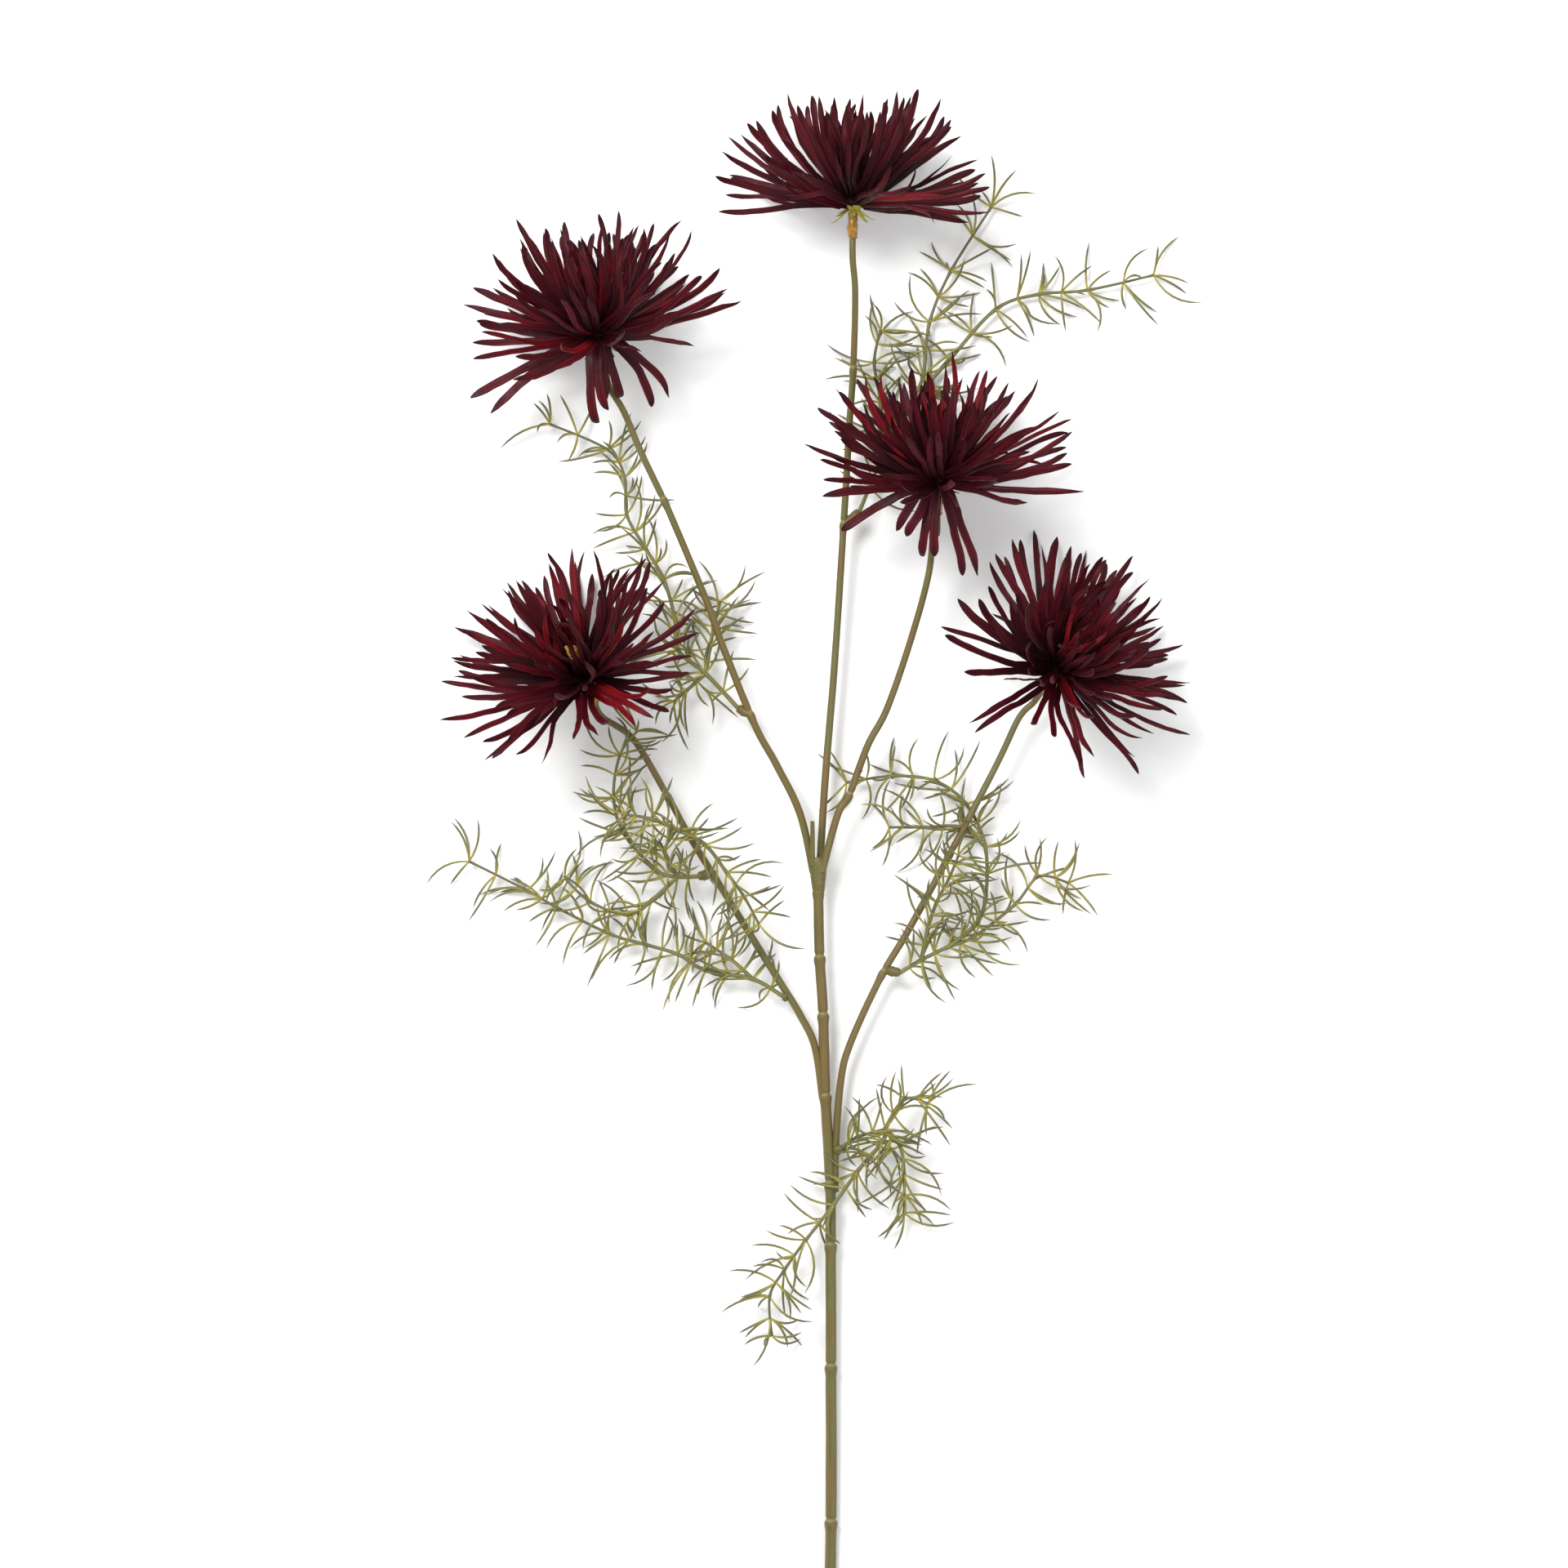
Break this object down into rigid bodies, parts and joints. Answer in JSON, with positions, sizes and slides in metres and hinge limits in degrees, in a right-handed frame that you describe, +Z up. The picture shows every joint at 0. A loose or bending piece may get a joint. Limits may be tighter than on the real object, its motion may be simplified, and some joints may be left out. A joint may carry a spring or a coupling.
{
  "type": "spider chrysanthemum spray",
  "caption": "Cut spray lying flat: one jointed stem forks into branches, each with a spider bloom of narrow curled petals, and carries wiry fern sprigs.",
  "frame": {"origin": "under the middle of the whole spray, on the surface that it lies on", "axes": "+Y from the cut end towards the top bloom, +Z up from the surface"},
  "size_m": [0.3532, 0.7176, 0.1116],
  "materials": {
    "petal": "dyed satin weave, burgundy",
    "stamen": "granular, yellow",
    "sepal": "moulded, yellow-green",
    "collar": "set glue, ochre",
    "stem": "moulded, semi-gloss, olive with a brown flush",
    "sprig": "moulded, olive green with yellow tuft centres"
  },
  "bodies": {
    "root": {"main_stem": "stem", "branch_1": "stem", "branch_2": "stem", "branch_3": "stem", "branch_4": "stem", "branch_5": "stem", "bloom_1_stamens": "stamen", "bloom_1_calyx": "sepal", "bloom_1_collar": "collar", "bloom_1_outer_petals": "petal", "bloom_1_middle_petals": "petal", "bloom_1_inner_petals": "petal", "bloom_1_core_petals": "petal", "bloom_2_stamens": "stamen", "bloom_2_calyx": "sepal", "bloom_2_collar": "collar", "bloom_2_outer_petals": "petal", "bloom_2_middle_petals": "petal", "bloom_2_inner_petals": "petal", "bloom_2_core_petals": "petal", "bloom_3_stamens": "stamen", "bloom_3_calyx": "sepal", "bloom_3_collar": "collar", "bloom_3_outer_petals": "petal", "bloom_3_middle_petals": "petal", "bloom_3_inner_petals": "petal", "bloom_3_core_petals": "petal", "bloom_4_stamens": "stamen", "bloom_4_calyx": "sepal", "bloom_4_collar": "collar", "bloom_4_outer_petals": "petal", "bloom_4_middle_petals": "petal", "bloom_4_inner_petals": "petal", "bloom_4_core_petals": "petal", "bloom_5_stamens": "stamen", "bloom_5_calyx": "sepal", "bloom_5_collar": "collar", "bloom_5_outer_petals": "petal", "bloom_5_middle_petals": "petal", "bloom_5_inner_petals": "petal", "bloom_5_core_petals": "petal", "sprig_a": "sprig", "sprig_b": "sprig", "sprig_c": "sprig", "sprig_d": "sprig", "sprig_e": "sprig", "sprig_f": "sprig"}
  },
  "joints": []
}
